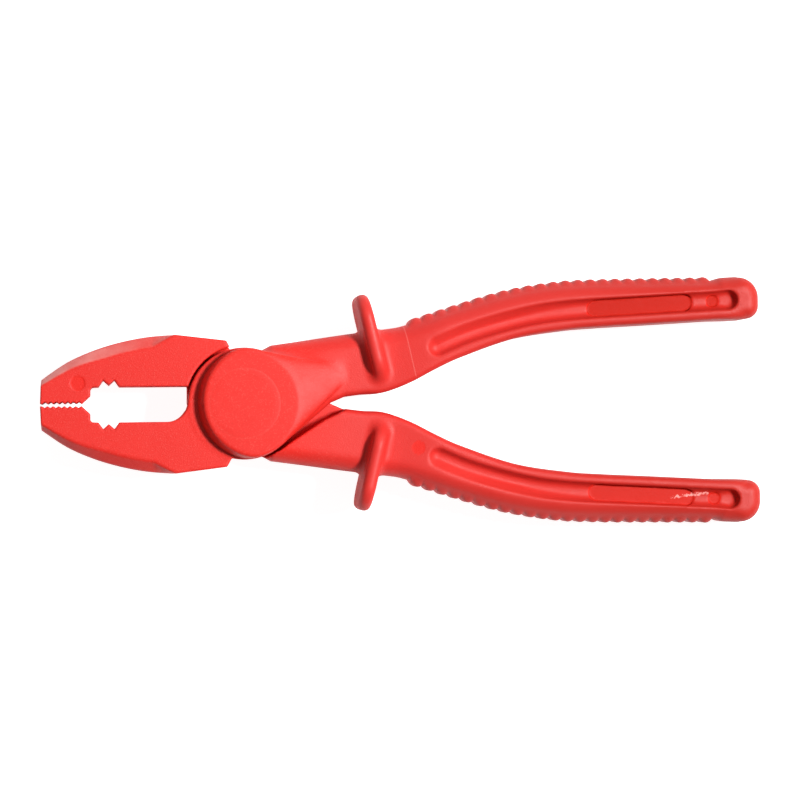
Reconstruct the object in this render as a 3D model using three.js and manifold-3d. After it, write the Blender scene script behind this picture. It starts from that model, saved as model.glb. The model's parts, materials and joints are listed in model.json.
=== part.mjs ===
// Insulated combination pliers, moulded in glass-fibre reinforced plastic.
// Units are millimetres. +X runs from the jaws to the handle ends, +Y across the tool, +Z up from the
// surface on which the pliers lie. The pivot axis is the line X = 0, Y = 0.
//
// Both levers cross at a lap joint. Each lever is drawn in its own frame, whose Z = 0 is the lap plane:
// its jaw lies at Y < 0, its handle at Y > 0, and its hub fills the upper half of the thickness.
// The rear lever is the same drawing turned half a turn about X, with a square throat.

import * as THREE from "three";
import { mergeVertices } from "three/addons/utils/BufferGeometryUtils.js";
import { ConvexGeometry } from "three/addons/geometries/ConvexGeometry.js";
import Module from "manifold-3d";

const wasm = await Module();
wasm.setup();

// ---------------------------------------------------------------- driving dimensions

const LAP_Z = 13; // lap plane above the rest surface
const JAW_HALF = 8.2; // half thickness of jaws, hub and necks
const GRIP_HALF = 10; // half thickness of the grips
const FACE_HALF = 13; // boss face and guard edge from the lap plane
const LAP_HALF_GAP = 0.25; // each lap face from the lap plane
const CLEAR = 0.3; // clearance between neighbouring pieces
const BEYOND = 2; // how far a cutter runs past the face it cuts

// Hub and boss.
const HUB_R = 17;
const HUB_SIDES = 72;
const SHOULDER_R = HUB_R + 0.75; // the other lever's concave shoulder
const BOSS_FOOT = { x: 2.6, y: 0.2, r: 17.1 }; // circle that cuts the boss back at its foot
const BOSS_FACE = { x: 4.9, y: 0.77, r: 17.05 }; // circle that cuts it back at its face
const BOSS_CENTRE = { x: 1.5, y: 0.5 }; // point from which the boss outline is drawn
const RAMP_END = { x: 27, y: 8, r: 3.6 }; // small round end of the fairing on the neck

// Jaw, as distances from the tool's centre line.
const TIP_X = -61.5;
const TIP_Y = 7.6;
const JAW_CORNER = { x: -5.4, y: 19.3 };
const JAW_HEEL = { x: -3.9, y: 16.5 }; // where the jaw's rear end meets the hub
const BEVEL_DROP = 3.6; // height of the outer bevel
const BEVEL_TIP_WIDTH = 1.4; // its width at the tip, growing towards the pivot up to the most
const BEVEL_GROWTH = 0.1;
const BEVEL_MOST = 3.3;
const BEVEL_RUNOUT = 0.5; // slope at which it runs out, at the end of the curved edge
const BEVEL_END_X = -21;
const TOOTH_Y = 0.3;
const TOOTH_DEPTH = 0.42;
const TOOTH_PITCH = 1.7;
const TOOTH_COUNT = 7;
const TOOTH_START = -61;
const THROAT_Y = 5.35;
const NOTCH_Y = 7.4;
const FILLET_R = 6.5; // rear lower corner of the throat
const SQUARE_END_X = -17.1; // straight rear end of the other lever's throat
const JAW_EDGE = [
  [BEVEL_END_X, -21.15],
  [-29.5, -20.4],
  [-37.5, -18.85],
  [-45.5, -16.4],
  [-53.5, -12.8],
  [TIP_X + 0.3, -TIP_Y],
];
const GRIP_NOTCHES = [
  [-46.5, -2.7],
  [-46.5, -4.6],
  [-45.9, -THROAT_Y + 0.1],
  [-44, -THROAT_Y],
  [-42.6, -NOTCH_Y],
  [-40.9, -5.8],
  [-39.2, -NOTCH_Y],
  [-37.8, -THROAT_Y],
];

// Neck and handle.
const NECK_ANGLE = THREE.MathUtils.degToRad(41); // slope of the neck's edge, tangent to the hub
const CROTCH = { x: 26.3, y: 0 };
const NECK_SWEEP = [
  [0, 0],
  [0, -14],
  [30.6, -14],
  [30.6, 2.3],
  [24.2, 5.35],
  [19.35, 8.45],
  [13.9, 12.04],
  [10.6, 14.2],
]; // plan of what the other lever's neck passes over as the jaws open
const OUTER_ROUND = 6;
const INNER_ROUND = 2.2;
const END_ROUND = 4;
const NECK_ROUND = 0.8;
const THICKEN_FROM = 40; // the neck thickens into the grip between these stations
const THICKEN_TO = 62;

// Grip ribs.
const RIB_COUNT = 24;
const RIB_START = 50.4;
const RIB_PITCH = 3.889;
const RIB_HEIGHT = 1.3;
const RIB_HALF = 5; // half height of the ribbed band
const RIB_BACKING = 5;
const RIB_STEPS = 4;
const RIB_BACK_EVERY = 4; // ribs between two points of the band's back
const EDGE_SAMPLES = 400;

// Groove in each face of the grip.
const GROOVE_DEPTH = 3;
const GROOVE_HALF = 3.1;
const GROOVE_SPINE = [
  [59, 17],
  [69, 21.1],
  [84, 25.3],
  [98, 27.5],
  [124, 29.15],
  [148.7, 30.6],
];

// Finger guard.
const GUARD_FOOT = { x: 42, y: 6.2 };
const GUARD_TIP = { x: 35.7, y: 32.9 };
const GUARD_THICK = 4.2;
const GUARD_EDGE = 1.6; // rounding of the flange's rim
const GUARD_CORNER = 8;

// Pivot pieces, drawn about the pivot axis.
const CAP_R = 10.75;
const CAP_THICK = 2.2;
const CAP_SINK = 0.2; // the front cap lies this far below the boss face
const CAP_SPIGOT = 0.7;
const SPIGOT_WALL = 1.2;
const JOIN = 0.5; // how far two bodies of one piece run into each other
const POCKET_R = 8.4;
const POCKET_FLOOR = 4.2;
const POCKET_TOP = 10.3;
const BUSH_R = 6;
const SHANK_R = 4;
const BOLT_HEAD_R = 6.5;
const BOLT_HEAD_H = 3.4;
const SOCKET_R = 2.9;
const WASHER_R = 8;
const WASHER_THICK = 0.5;
const THRUST_R = 12;
const THRUST_THICK = 1;
const SPRING_R = 7.6;
const SPRING_THICK = 0.5;
const SPRING_RISE = 0.4;
const NUT_R = 7.5;
const NUT_H = 3;
const SHANK_END = -9.8;

// ---------------------------------------------------------------- solids and helpers

const point = (x, y) => new THREE.Vector2(x, y);

// A three.js geometry as a solid that can be joined and cut.
function solid(geometry) {
  const bare = geometry.clone();
  bare.deleteAttribute("normal");
  bare.deleteAttribute("uv");
  const merged = mergeVertices(bare, 1e-4);
  return new wasm.Manifold(
    new wasm.Mesh({
      numProp: 3,
      vertProperties: merged.attributes.position.array,
      triVerts: new Uint32Array(merged.index.array),
    }),
  );
}

function geometryOf(body) {
  const mesh = body.getMesh();
  const geometry = new THREE.BufferGeometry();
  geometry.setAttribute("position", new THREE.BufferAttribute(mesh.vertProperties, 3));
  geometry.setIndex(new THREE.BufferAttribute(mesh.triVerts, 1));
  geometry.computeVertexNormals();
  return geometry;
}

// A prism of a closed outline between two heights.
function prism(points, bottom, top) {
  const geometry = new THREE.ExtrudeGeometry(new THREE.Shape(points), {
    depth: top - bottom,
    bevelEnabled: false,
  });
  return solid(geometry.translate(0, 0, bottom));
}

// A disc or a hexagon about the pivot axis.
function disc(radius, bottom, top, sides = 60) {
  const geometry = new THREE.CylinderGeometry(radius, radius, top - bottom, sides);
  geometry.rotateX(Math.PI / 2).translate(0, 0, (bottom + top) / 2);
  return solid(geometry);
}

// A closed solid through rings of equal point count, lowest ring first, each ring anticlockwise.
// A ring is a list of Vector3; the first and last rings are filled in.
function stack(rings) {
  const count = rings[0].length;
  const positions = rings.flatMap((ring) => ring.flatMap((p) => [p.x, p.y, p.z]));
  const index = [];
  for (let level = 0; level + 1 < rings.length; level++) {
    for (let i = 0; i < count; i++) {
      const a = level * count + i;
      const b = level * count + ((i + 1) % count);
      index.push(a, b, b + count, a, b + count, a + count);
    }
  }
  const fill = (ring, offset, flip) => {
    for (const [a, b, c] of THREE.ShapeUtils.triangulateShape(ring.map((p) => point(p.x, p.y)), [])) {
      index.push(...(flip ? [a, c, b] : [a, b, c]).map((i) => i + offset));
    }
  };
  fill(rings[0], 0, true);
  fill(rings.at(-1), (rings.length - 1) * count, false);
  const geometry = new THREE.BufferGeometry();
  geometry.setAttribute("position", new THREE.Float32BufferAttribute(positions, 3));
  geometry.setIndex(index);
  return solid(geometry);
}

const atHeight = (points, z) => points.map((p) => new THREE.Vector3(p.x, p.y, z));

function smoothCurve(pairs, divisions) {
  return new THREE.SplineCurve(pairs.map(([x, y]) => point(x, y))).getPoints(divisions);
}

function arc(x, y, radius, from, to, divisions) {
  return Array.from({ length: divisions + 1 }, (_, i) => {
    const angle = from + ((to - from) * i) / divisions;
    return point(x + radius * Math.cos(angle), y + radius * Math.sin(angle));
  });
}

// ---------------------------------------------------------------- jaw

// Toothed and notched inner edge, from the tip to the throat.
function jawGrip() {
  const edge = [point(TIP_X, -TOOTH_Y)];
  for (let i = 0; i < TOOTH_COUNT; i++) {
    const x = TOOTH_START + i * TOOTH_PITCH;
    edge.push(point(x, -TOOTH_Y));
    edge.push(point(x + TOOTH_PITCH / 2, -TOOTH_Y - TOOTH_DEPTH));
  }
  edge.push(point(TOOTH_START + TOOTH_COUNT * TOOTH_PITCH, -TOOTH_Y));
  return [...edge, ...GRIP_NOTCHES.map(([x, y]) => point(x, y))];
}

// Rear end of the throat: a fillet that runs onto the hub, or a square corner.
function throatEnd(square) {
  if (square) {
    return [point(SQUARE_END_X, -THROAT_Y), point(SQUARE_END_X, 0)];
  }
  return arc(-HUB_R - FILLET_R, FILLET_R - THROAT_Y, FILLET_R, -Math.PI / 2, 0, 6);
}

// Width of the outer bevel in plan: it widens from the tip and runs out in front of the hub.
function bevelWidth(x) {
  const grown = BEVEL_TIP_WIDTH + BEVEL_GROWTH * (x - TIP_X);
  return Math.max(0, Math.min(grown, BEVEL_MOST, BEVEL_RUNOUT * (BEVEL_END_X - x)));
}

function jaw(square) {
  const inside = [...jawGrip(), ...throatEnd(square), point(0, 0)];
  const rear = [point(JAW_HEEL.x, -JAW_HEEL.y), point(JAW_CORNER.x, -JAW_CORNER.y)];
  const outer = smoothCurve(JAW_EDGE, 14);
  const ring = (z, bevelled) => {
    const edge = outer.map((p) => point(p.x, p.y + (bevelled ? bevelWidth(p.x) : 0)));
    return atHeight([...inside, ...rear, ...edge].reverse(), z);
  };
  return stack([
    ring(-JAW_HALF, true),
    ring(-JAW_HALF + BEVEL_DROP, false),
    ring(JAW_HALF - BEVEL_DROP, false),
    ring(JAW_HALF, true),
  ]);
}

// ---------------------------------------------------------------- handle

const OUTER_EDGE = [
  [8.3, 17.7],
  [18.5, 19.1],
  [30.5, 20.8],
  [43, 22.4],
  [49.5, 23.6],
  [65, 28.5],
  [80, 32.85],
  [95, 35.4],
  [108, 36.15],
  [128, 36.45],
  [143, 36.7],
  [147, 37.6],
  [151, 37.85],
];

const INNER_EDGE = [
  [145, 24.55],
  [126.5, 23.5],
  [110.5, 22.65],
  [98.5, 21.7],
  [82.5, 19.1],
  [66.5, 13.65],
  [58.5, 10.05],
  [50.5, 5.9],
  [42.5, 3],
  [36, 2.5],
  [30.5, 1.8],
];

// Two corners of the handle's end.
const END_LOWER = { x: 154.8, y: 28.8, r: 4.1 };
const END_UPPER = { x: 152.4, y: 31.35, r: 6.5 };

// Plan outline of neck and grip, anticlockwise, each point with its edge rounding.
function handleOutline() {
  const tangent = point(HUB_R * Math.sin(NECK_ANGLE), -HUB_R * Math.cos(NECK_ANGLE));
  const rounded = (points, radius) => points.map((p) => ({ p, radius }));
  const corner = ({ x, y, r }, from) => arc(x, y, r, from, from + Math.PI / 2, 4);
  const end = [...corner(END_LOWER, -Math.PI / 2), ...corner(END_UPPER, 0)];
  return [
    ...rounded([point(4, 14), point(-2, 6), point(6, -8)], 0),
    ...rounded([tangent, point(CROTCH.x, CROTCH.y)], NECK_ROUND),
    ...rounded(smoothCurve(INNER_EDGE, 24).reverse(), INNER_ROUND),
    ...rounded(end, END_ROUND),
    ...rounded(smoothCurve(OUTER_EDGE, 28).reverse(), OUTER_ROUND),
    ...rounded([point(5.9, 16.35)], 0),
  ];
}

function halfThickness(x) {
  return THREE.MathUtils.lerp(JAW_HALF, GRIP_HALF, THREE.MathUtils.smoothstep(x, THICKEN_FROM, THICKEN_TO));
}

// How far an edge rounded by the radius has drawn in, at a depth below the face.
function drawIn(radius, depth) {
  return depth >= radius ? 0 : radius - Math.sqrt(radius * radius - (radius - depth) ** 2);
}

function handle() {
  const outline = handleOutline();
  const inward = outline.map((_, i) => {
    const before = outline.at(i - 1).p;
    const after = outline[(i + 1) % outline.length].p;
    return point(before.y - after.y, after.x - before.x).normalize();
  });
  const ring = (depth, side) =>
    outline.map(({ p, radius }, i) => {
      const shift = drawIn(radius, depth);
      const z = side * (halfThickness(p.x) - depth);
      return new THREE.Vector3(p.x + shift * inward[i].x, p.y + shift * inward[i].y, z);
    });
  const depths = [0, 0.5, 1.6, 3.4, 6];
  return stack([
    ...depths.map((depth) => ring(depth, -1)),
    ...depths.toReversed().map((depth) => ring(depth, 1)),
  ]);
}

// Space that the other lever's hub and neck sweep, on the far side of the lap plane.
function lapPocket() {
  const floor = -FACE_HALF - BEYOND;
  const top = LAP_HALF_GAP;
  const neck = NECK_SWEEP.map(([x, y]) => point(x, y));
  return disc(SHOULDER_R, floor, top, HUB_SIDES).add(prism(neck, floor, top));
}

// Convex scallops along the outer edge of the grip, in a band about mid depth.
function ribs() {
  const edge = new THREE.SplineCurve(OUTER_EDGE.map(([x, y]) => point(x, y)));
  const samples = edge.getSpacedPoints(EDGE_SAMPLES);
  const onEdge = (x) => {
    const i = Math.max(1, samples.findIndex((p) => p.x >= x));
    const along = samples[i].clone().sub(samples[i - 1]);
    const t = (x - samples[i - 1].x) / along.x;
    const p = samples[i - 1].clone().addScaledVector(along, t);
    return { p, out: point(-along.y, along.x).normalize() };
  };
  const crest = [];
  for (let i = 0; i <= RIB_COUNT * RIB_STEPS; i++) {
    const { p, out } = onEdge(RIB_START + (i * RIB_PITCH) / RIB_STEPS);
    const phase = (i % RIB_STEPS) / RIB_STEPS;
    crest.push(p.addScaledVector(out, RIB_HEIGHT * Math.sqrt(Math.sin(Math.PI * phase))));
  }
  const back = [];
  for (let i = RIB_COUNT; i >= 0; i -= RIB_BACK_EVERY) {
    const { p, out } = onEdge(RIB_START + i * RIB_PITCH);
    back.push(p.addScaledVector(out, -RIB_BACKING));
  }
  return prism([...crest, ...back].reverse(), -RIB_HALF, RIB_HALF);
}

// Channel along the middle of the grip, cut into the upper face (side 1) or the lower one (side -1).
function groove(side) {
  const spine = smoothCurve(GROOVE_SPINE, 16);
  const ring = (half, depth) => {
    const left = [];
    const right = [];
    spine.forEach((p, i) => {
      const before = spine[Math.max(0, i - 1)];
      const after = spine[Math.min(spine.length - 1, i + 1)];
      const out = point(before.y - after.y, after.x - before.x).normalize();
      left.push(p.clone().addScaledVector(out, half));
      right.push(p.clone().addScaledVector(out, -half));
    });
    const roundEnd = (end, before) => {
      const heading = end.clone().sub(before).angle();
      return arc(end.x, end.y, half, heading - Math.PI / 2, heading + Math.PI / 2, 4).slice(1, -1);
    };
    const nose = roundEnd(spine[0], spine[1]);
    const tail = roundEnd(spine.at(-1), spine.at(-2));
    return atHeight([...nose, ...right, ...tail, ...left.reverse()], side * (GRIP_HALF - depth));
  };
  const rings = [
    ring(0.35 * GROOVE_HALF, GROOVE_DEPTH),
    ring(0.75 * GROOVE_HALF, 0.7 * GROOVE_DEPTH),
    ring(GROOVE_HALF, 0.1 * GROOVE_DEPTH),
    ring(GROOVE_HALF, -BEYOND),
  ];
  return stack(side > 0 ? rings : rings.reverse());
}

// Flange across the handle that stops the hand from slipping forwards.
function guard() {
  const foot = point(GUARD_FOOT.x, GUARD_FOOT.y);
  const reach = point(GUARD_TIP.x, GUARD_TIP.y).sub(foot);
  const length = reach.length() - GUARD_EDGE;
  const half = FACE_HALF - GUARD_EDGE;
  const corner = GUARD_CORNER - GUARD_EDGE;
  const quarter = Math.PI / 2;
  const outline = [
    ...arc(length - corner, half - corner, corner, 0, quarter, 4),
    ...arc(GUARD_EDGE + corner, half - corner, corner, quarter, 2 * quarter, 4),
    ...arc(GUARD_EDGE + corner, corner - half, corner, 2 * quarter, 3 * quarter, 4),
    ...arc(length - corner, corner - half, corner, 3 * quarter, 4 * quarter, 4),
  ];
  const geometry = new THREE.ExtrudeGeometry(new THREE.Shape(outline), {
    depth: GUARD_THICK - 2 * GUARD_EDGE,
    bevelThickness: GUARD_EDGE,
    bevelSize: GUARD_EDGE,
    bevelSegments: 3,
  });
  geometry.translate(0, 0, GUARD_EDGE - GUARD_THICK / 2);
  geometry.rotateX(Math.PI / 2).rotateZ(reach.angle()).translate(foot.x, foot.y, 0);
  return solid(geometry);
}

// ---------------------------------------------------------------- hub and boss

// Distance from the boss centre to a circle, along a direction.
function reachTo(circle, angle) {
  const dx = circle.x - BOSS_CENTRE.x;
  const dy = circle.y - BOSS_CENTRE.y;
  const along = dx * Math.cos(angle) + dy * Math.sin(angle);
  return along + Math.sqrt(circle.r ** 2 - dx * dx - dy * dy + along * along);
}

function bossRing(circles, z) {
  return Array.from({ length: HUB_SIDES }, (_, i) => {
    const angle = (i * 2 * Math.PI) / HUB_SIDES;
    const radius = Math.min(...circles.map((circle) => reachTo(circle, angle)));
    const x = BOSS_CENTRE.x + radius * Math.cos(angle);
    return new THREE.Vector3(x, BOSS_CENTRE.y + radius * Math.sin(angle), z);
  });
}

// Raised boss, with its slanted front wall and the fairing that slopes down to the neck.
function boss() {
  const hub = { x: 0, y: 0, r: HUB_R };
  const foot = bossRing([hub, BOSS_FOOT], JAW_HALF - BEYOND);
  const ledge = bossRing([hub, BOSS_FOOT], JAW_HALF);
  const face = bossRing([hub, BOSS_FACE, BOSS_FOOT], FACE_HALF);
  const end = arc(RAMP_END.x, RAMP_END.y, RAMP_END.r, 0, 2 * Math.PI, 16).slice(1);
  const fairing = [
    ...face.filter((p) => p.x > 0),
    ...ledge.filter((p) => p.x > 0),
    ...atHeight(end, JAW_HALF),
    ...atHeight(end, JAW_HALF - BEYOND),
  ];
  return stack([foot, ledge, face]).add(solid(new ConvexGeometry(fairing)));
}

function pivotBore() {
  return disc(CAP_R + CLEAR, POCKET_TOP, FACE_HALF + BEYOND)
    .add(disc(POCKET_R, POCKET_FLOOR, POCKET_TOP + BEYOND))
    .add(disc(BUSH_R + CLEAR, -BEYOND, POCKET_FLOOR + BEYOND))
    .add(disc(THRUST_R + CLEAR, -BEYOND, THRUST_THICK / 2 + CLEAR));
}

function lever(square) {
  const farSide = disc(SHOULDER_R, -FACE_HALF - BEYOND, LAP_HALF_GAP, HUB_SIDES);
  const hub = disc(HUB_R, LAP_HALF_GAP, JAW_HALF, HUB_SIDES);
  return jaw(square)
    .subtract(farSide)
    .add(handle().subtract(lapPocket()))
    .add(hub)
    .add(boss())
    .add(ribs())
    .subtract(groove(1))
    .subtract(groove(-1))
    .add(guard())
    .subtract(pivotBore());
}

// ---------------------------------------------------------------- pivot pieces

// A ring-shaped solid turned about the pivot axis from a closed profile of [radius, height] pairs.
function turned(profile, sides = 36) {
  const points = profile.map(([radius, height]) => point(radius, height));
  const geometry = new THREE.LatheGeometry([...points, points[0]], sides).rotateX(Math.PI / 2);
  return solid(geometry);
}

function washer(inner, outer, bottom, top) {
  return turned([
    [inner, bottom],
    [outer, bottom],
    [outer, top],
    [inner, top],
  ]);
}

// Insulating cap: a disc with a short spigot that enters the pocket.
function pivotCap(face) {
  const inside = face - CAP_THICK;
  const outer = POCKET_R - CLEAR;
  const spigot = washer(outer - SPIGOT_WALL, outer, inside - CAP_SPIGOT, inside + JOIN);
  return disc(CAP_R, inside, face).add(spigot);
}

function pivotBolt(seat) {
  const head = disc(BOLT_HEAD_R, seat, seat + BOLT_HEAD_H, 36);
  const socket = disc(SOCKET_R, seat + BOLT_HEAD_H / 2, seat + BOLT_HEAD_H + BEYOND, 6);
  return disc(SHANK_R, SHANK_END, seat + JOIN, 36).add(head).subtract(socket);
}

function pivotNut(top) {
  const thread = disc(SHANK_R + CLEAR, top - NUT_H - BEYOND, top + BEYOND, 36);
  return disc(NUT_R, top - NUT_H, top, 6).subtract(thread);
}

// Slightly conical spring washer that keeps the joint free of play.
function discSpring(top) {
  const inner = SHANK_R + CLEAR;
  return turned([
    [inner, top - SPRING_THICK - SPRING_RISE],
    [SPRING_R, top - SPRING_THICK],
    [SPRING_R, top],
    [inner, top - SPRING_RISE],
  ]);
}

// ---------------------------------------------------------------- assembly

const PLASTIC_RED = { color: 0xd6241f, roughness: 0.55, metalness: 0 };
const CAP_RED = { color: 0xda2822, roughness: 0.5, metalness: 0 };
const BEARING_PLASTIC = { color: 0xe6e2d6, roughness: 0.45, metalness: 0 };
const STEEL = { color: 0xb4b7ba, roughness: 0.35, metalness: 1 };

const pliers = new THREE.Group();
const joint = new THREE.Group(); // frame of the lap plane
joint.position.z = LAP_Z;
pliers.add(joint);

function addPiece(name, body, look) {
  const mesh = new THREE.Mesh(geometryOf(body), new THREE.MeshStandardMaterial(look));
  mesh.name = name;
  joint.add(mesh);
  return mesh;
}

addPiece("front_lever", lever(false), PLASTIC_RED);
const rearLever = addPiece("rear_lever", lever(true), PLASTIC_RED);
rearLever.rotation.x = Math.PI;

addPiece("front_pivot_cap", pivotCap(FACE_HALF - CAP_SINK), CAP_RED);
const rearCap = addPiece("rear_pivot_cap", pivotCap(FACE_HALF), CAP_RED);
rearCap.rotation.x = Math.PI;

const bore = SHANK_R + CLEAR;
const thrustHalf = THRUST_THICK / 2;
const bushFrom = thrustHalf + CLEAR;
const washerFrom = POCKET_FLOOR + CLEAR;
const washerTo = washerFrom + WASHER_THICK;
const springTop = -washerTo - CLEAR;
const nutTop = springTop - SPRING_THICK - SPRING_RISE - CLEAR;

addPiece("thrust_washer", washer(bore, THRUST_R, -thrustHalf, thrustHalf), BEARING_PLASTIC);
addPiece("front_bush", washer(bore, BUSH_R, bushFrom, POCKET_FLOOR), BEARING_PLASTIC);
addPiece("rear_bush", washer(bore, BUSH_R, -POCKET_FLOOR, -bushFrom), BEARING_PLASTIC);
addPiece("head_washer", washer(bore, WASHER_R, washerFrom, washerTo), STEEL);
addPiece("nut_washer", washer(bore, WASHER_R, -washerTo, -washerFrom), STEEL);
addPiece("pivot_bolt", pivotBolt(washerTo + CLEAR), STEEL);
addPiece("disc_spring", discSpring(springTop), STEEL);
addPiece("pivot_nut", pivotNut(nutTop), STEEL);

export default pliers;
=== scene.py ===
"""Insulated combination pliers: looks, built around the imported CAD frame.

Each lever is described once, as a signed distance in millimetres, in its own frame: the lap plane is
z = 0, the jaw lies at y < 0, the handle at y > 0, and the hub fills z > 0. The rear lever is the same
description turned half a turn about X. A mesh is then drawn on the zero surface of that distance.
"""
import json

import bmesh
import bpy
import numpy as np
from mathutils import Matrix, Vector


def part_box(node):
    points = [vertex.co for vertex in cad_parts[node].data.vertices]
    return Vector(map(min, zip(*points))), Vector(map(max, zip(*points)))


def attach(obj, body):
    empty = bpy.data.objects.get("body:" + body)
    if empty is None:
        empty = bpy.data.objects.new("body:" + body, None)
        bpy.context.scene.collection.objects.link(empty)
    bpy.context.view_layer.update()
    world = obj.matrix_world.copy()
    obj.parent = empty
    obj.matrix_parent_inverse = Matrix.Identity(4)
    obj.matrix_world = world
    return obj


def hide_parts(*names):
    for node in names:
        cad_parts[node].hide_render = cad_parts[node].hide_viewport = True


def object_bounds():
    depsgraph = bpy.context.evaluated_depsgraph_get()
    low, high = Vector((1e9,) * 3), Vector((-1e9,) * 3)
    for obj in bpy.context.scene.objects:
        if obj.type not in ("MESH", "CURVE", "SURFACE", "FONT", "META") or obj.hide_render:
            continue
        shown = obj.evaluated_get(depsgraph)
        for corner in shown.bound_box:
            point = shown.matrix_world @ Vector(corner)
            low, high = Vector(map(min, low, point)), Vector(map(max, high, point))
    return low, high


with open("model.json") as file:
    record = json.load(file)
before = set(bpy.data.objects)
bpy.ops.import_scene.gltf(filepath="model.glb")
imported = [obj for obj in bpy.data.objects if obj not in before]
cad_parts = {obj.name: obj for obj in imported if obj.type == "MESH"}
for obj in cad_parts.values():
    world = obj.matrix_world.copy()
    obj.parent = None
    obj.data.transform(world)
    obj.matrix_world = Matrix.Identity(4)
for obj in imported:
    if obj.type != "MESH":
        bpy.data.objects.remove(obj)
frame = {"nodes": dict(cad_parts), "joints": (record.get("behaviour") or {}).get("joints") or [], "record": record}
cad_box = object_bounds()

MM = 0.001

# ---------------------------------------------------------------- sizes from the frame, in millimetres

front_low, front_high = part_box("front_lever")
cap_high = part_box("front_pivot_cap")[1]
bush_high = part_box("front_bush")[1]
thrust_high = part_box("thrust_washer")[1]
LAP_Z = frame["joints"][0]["pos_m"][2] / MM
FACE_HALF = front_high.z / MM - LAP_Z
CAP_R = cap_high.x / MM
BUSH_R = bush_high.x / MM
POCKET_FLOOR = bush_high.z / MM - LAP_Z
THRUST_R = thrust_high.x / MM
THRUST_HALF = thrust_high.z / MM - LAP_Z
TIP_X = front_low.x / MM
END_X = front_high.x / MM

# ---------------------------------------------------------------- driving dimensions, in millimetres
# These are the CAD's own, apart from deeper teeth and a slightly wider boss.

JAW_HALF = 8.2  # half of the jaw's thickness
GRIP_HALF = 10.0  # half of the handle's thickness
LAP_GAP = 0.25  # play at the lap plane, on each side
CLEAR = 0.3  # play around the pivot's pieces
HUB_R = 17.0
SHOULDER_R = 17.75  # each lever is cut back to this radius around the other's hub
BOSS_FOOT = (2.9, 0.2, 17.1)  # centre and radius of the boss's slanted wall, level with the jaw's face
BOSS_FACE = (4.9, 0.77, 17.25)  # the same, level with the boss's face
BOSS_R = 16.7
FAIRING_R = HUB_R - 0.4
FAIRING_END = (27.0, 8.0, 3.6)  # centre and radius of the fairing's small end, level with the jaw's face
FAIRING_START = (0.9666, 0.2564, 2.86)  # the line where the boss wall meets the hub
TIP_Y = 7.6
JAW_CORNER = (-5.4, 19.3)
JAW_HEEL = (-3.9, 16.5)
JAW_EDGE_R = 0.35
BEVEL_DROP = 3.6  # how far down the jaw's side the bevel reaches
BEVEL_AT_TIP, BEVEL_WIDEST = 1.4, 3.3
TOOTH_Y, TOOTH_DEPTH, TOOTH_PITCH, TOOTH_COUNT, TOOTH_START = 0.3, 0.6, 1.7, 7, -61.0
THROAT_Y, NOTCH_Y, FILLET_R, SQUARE_END_X = 5.35, 7.4, 6.5, -17.1
NECK_ANGLE = np.radians(41)
CROTCH = (26.3, 0.0)
OUTER_ROUND, INNER_ROUND, END_ROUND = 6.0, 2.2, 4.1
THICKEN = (40.0, 62.0)  # the handle thickens over this stretch of X
RIB_COUNT, RIB_START, RIB_PITCH, RIB_HEIGHT, RIB_HALF = 24, 50.4, 3.889, 1.3, 5.0
GROOVE_DEPTH, GROOVE_HALF = 3.0, 3.1
GROOVE_SHALLOW = 0.75  # share of the depth at the groove's front end
GROOVE_DEEPENS = (0, 30)  # stretch along the groove over which it gains its full depth
GROOVE_OFFSET = 0.3  # how far off its middle the front part is deepest, as a share of its half width
GROOVE_FLATTENS = (80, 108)  # stretch of X over which the floor turns flat
GROOVE_STEEPENS = (146.2, 149.2)  # stretch of X over which the rear end turns steep
INSERT_MIDDLE, INSERT_HALF, INSERT_WIDE, INSERT_SINK = 121.6, 16.4, 2.65, 0.3
GROOVE_MARK, GROOVE_MARK_SINK = (144.3, 30.3, 1.9), 0.2  # each mark has a centre and a radius
JAW_MARK, GRIP_MARK, FACE_MARK_SINK = (-50.2, -6.5, 2.2), (52.8, 13.9, 2), 0.15
GUARD_FOOT, GUARD_TIP = (42.0, 6.2), (35.7, 32.9)
GUARD_THICK, GUARD_CORNER = 4.2, 8.0
POCKET_R, POCKET_TOP = 8.4, 10.3
LIP, LIP_WIDTH = 0.05, 1.0  # the cap's lip on the boss face
SCRAPE_START, SCRAPE_RUN, SCRAPE_WIDE = (131, 29.9), (11, -1.3), 1.2
KNIT, KNIT_NORMAL = (50.8, 14.3), (0.976, 0.216)  # a point on the knit line, and its normal
KNIT_ZERO = 20.0  # the value stored along the knit line, so that pieces without one keep clear of it

# widths over which the corners between shapes are rounded
EDGE_SOFT, SHOULDER_SOFT, JOIN_SOFT, FACE_SOFT = 0.5, 0.4, 0.3, 0.8
BOSS_SOFT, LAP_SOFT, MARK_SOFT, GUARD_SOFT, BORE_SOFT = 0.6, 1.0, 0.12, 2.6, 0.2

OUTER_EDGE = [(8.3, 17.7), (18.5, 19.1), (30.5, 20.8), (43, 22.4), (49.5, 23.6), (65, 28.5), (80, 32.85),
              (95, 35.4), (108, 36.15), (128, 36.45), (143, 36.7), (147, 37.6), (151, 37.85)]
END_ARCS = [(154.8, 28.8, 4.1), (152.4, 31.35, 6.5)]  # centre and radius of the handle end's two corners
INNER_EDGE = [(145, 24.55), (126.5, 23.5), (110.5, 22.65), (98.5, 21.7), (82.5, 19.1), (66.5, 13.65),
              (58.5, 10.05), (50.5, 5.9), (42.5, 3), (36, 2.5), (30.5, 1.8)]
JAW_EDGE = [(-21, -21.15), (-29.5, -20.4), (-37.5, -18.85), (-45.5, -16.4), (-53.5, -12.8),
            (TIP_X + 0.3, -TIP_Y)]
GROOVE_SPINE = [(59, 17), (69, 21.1), (84, 25.3), (98, 27.5), (124, 29.15), (148.7, 30.6)]
LAP_OUTLINE = [(0, 0), (0, -14), (30.6, -14), (30.6, 2.3), (24.2, 5.35), (19.35, 8.45), (13.9, 12.04),
               (10.6, 14.2)]

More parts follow.
